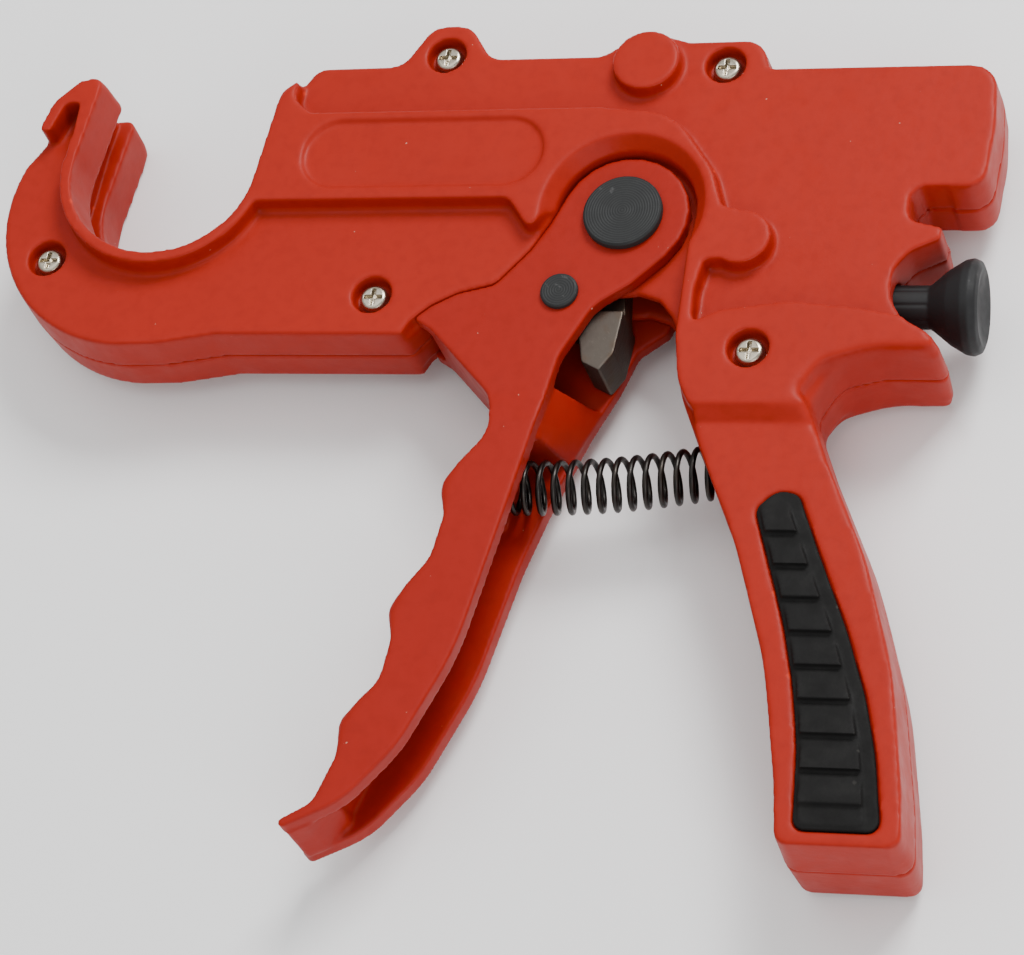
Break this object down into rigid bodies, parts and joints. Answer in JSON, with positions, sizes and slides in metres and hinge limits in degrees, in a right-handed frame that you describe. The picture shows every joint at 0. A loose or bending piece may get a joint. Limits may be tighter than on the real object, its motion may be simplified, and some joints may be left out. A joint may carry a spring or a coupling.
{
  "type": "ratchet pipe cutter",
  "caption": "Pistol-grip ratchet cutter for plastic pipe: hook jaw, sliding blade inside a two-shell body, sprung trigger, pawls and a push-in release knob.",
  "frame": {"origin": "bottom centre of the whole tool's box, with the tool lying on its back shell's side", "axes": "+X from the hook jaw towards the release knob, +Y away from the handles, +Z out of the front shell"},
  "size_m": [0.2155, 0.186, 0.03],
  "materials": {
    "red_enamel": "semi-matt enamel",
    "black_rubber": "matt",
    "dark_steel": "turned and blackened",
    "bright_steel": "turned",
    "forged_steel": "rolled, oiled",
    "spring_steel": "oil-tempered wire",
    "blade_steel": "ground",
    "screw_plating": "yellowish nickel plate",
    "bronze": "sintered",
    "black_plastic": "moulded"
  },
  "bodies": {
    "housing": {"near_shell": "red_enamel", "far_shell": "red_enamel", "housing_screws": "screw_plating", "grip_pad_near": "black_rubber", "grip_pad_far": "black_rubber", "main_pin": "dark_steel", "pin_clip": "dark_steel", "pivot_bush_near": "bronze", "pivot_bush_far": "bronze", "roller_pin": "bright_steel", "return_spring_post": "bright_steel", "holding_pawl_pin": "bright_steel", "holding_pawl_spring": "spring_steel", "trigger_spring": "spring_steel", "blade_return_spring": "spring_steel", "release_spring": "spring_steel"},
    "trigger": {"trigger_lever": "red_enamel", "pawl_pin": "dark_steel", "drive_pawl_spring": "spring_steel"},
    "driving_pawl": {"drive_pawl": "forged_steel"},
    "wheel": {"drive_wheel": "forged_steel"},
    "carriage": {"blade_carrier": "forged_steel", "blade": "blade_steel", "blade_rivets": "bright_steel"},
    "roller": {"backing_roller": "bright_steel"},
    "release": {"release_rod": "bright_steel", "release_knob": "black_plastic"},
    "catch": {"holding_pawl": "forged_steel"}
  },
  "joints": [
    {"name": "trigger_pivot", "type": "hinge", "parent": "housing", "child": "trigger", "pos_m": [0.0325, 0.045, 0.015], "axis": [0, 0, 1], "range_deg": [0, 22], "stiffness_Nm_per_rad": 3, "springref_deg": -8.59, "deforming": ["trigger_spring"]},
    {"name": "driving_pawl_lift", "type": "hinge", "parent": "trigger", "child": "driving_pawl", "pos_m": [0.0213, 0.0266, 0.015], "axis": [0, 0, 1], "range_deg": [-11.5, 0], "stiffness_Nm_per_rad": 0.06, "springref_deg": 17.19},
    {"name": "blade_slide", "type": "slide", "parent": "housing", "child": "carriage", "axis": [-1, 0, 0], "range_m": [0, 0.045], "stiffness_N_per_m": 120, "springref_m": -0.01, "deforming": ["blade_return_spring"]},
    {"name": "wheel_spin", "type": "hinge", "parent": "housing", "child": "wheel", "pos_m": [0.0325, 0.045, 0.015], "axis": [0, 0, 1], "range_deg": [0, 264.5]},
    {"name": "roller_spin", "type": "hinge", "parent": "housing", "child": "roller", "pos_m": [0.0331, 0.081, 0.015], "axis": [0, 0, 1], "range_deg": [-460.5, 0]},
    {"name": "release_slide", "type": "slide", "parent": "housing", "child": "release", "axis": [-1, 0, 0], "range_m": [0, 0.004], "stiffness_N_per_m": 700, "springref_m": -0.002, "deforming": ["release_spring"]},
    {"name": "catch_lift", "type": "hinge", "parent": "housing", "child": "catch", "pos_m": [0.0591, 0.0374, 0.015], "axis": [0, 0, 1], "range_deg": [-11.5, 0]}
  ],
  "couplings": [
    {"joint": "wheel_spin", "follows": "blade_slide", "rad_per_m": 102.56},
    {"joint": "roller_spin", "follows": "blade_slide", "rad_per_m": -178.57},
    {"joint": "catch_lift", "follows": "release_slide", "rad_per_m": -50}
  ]
}
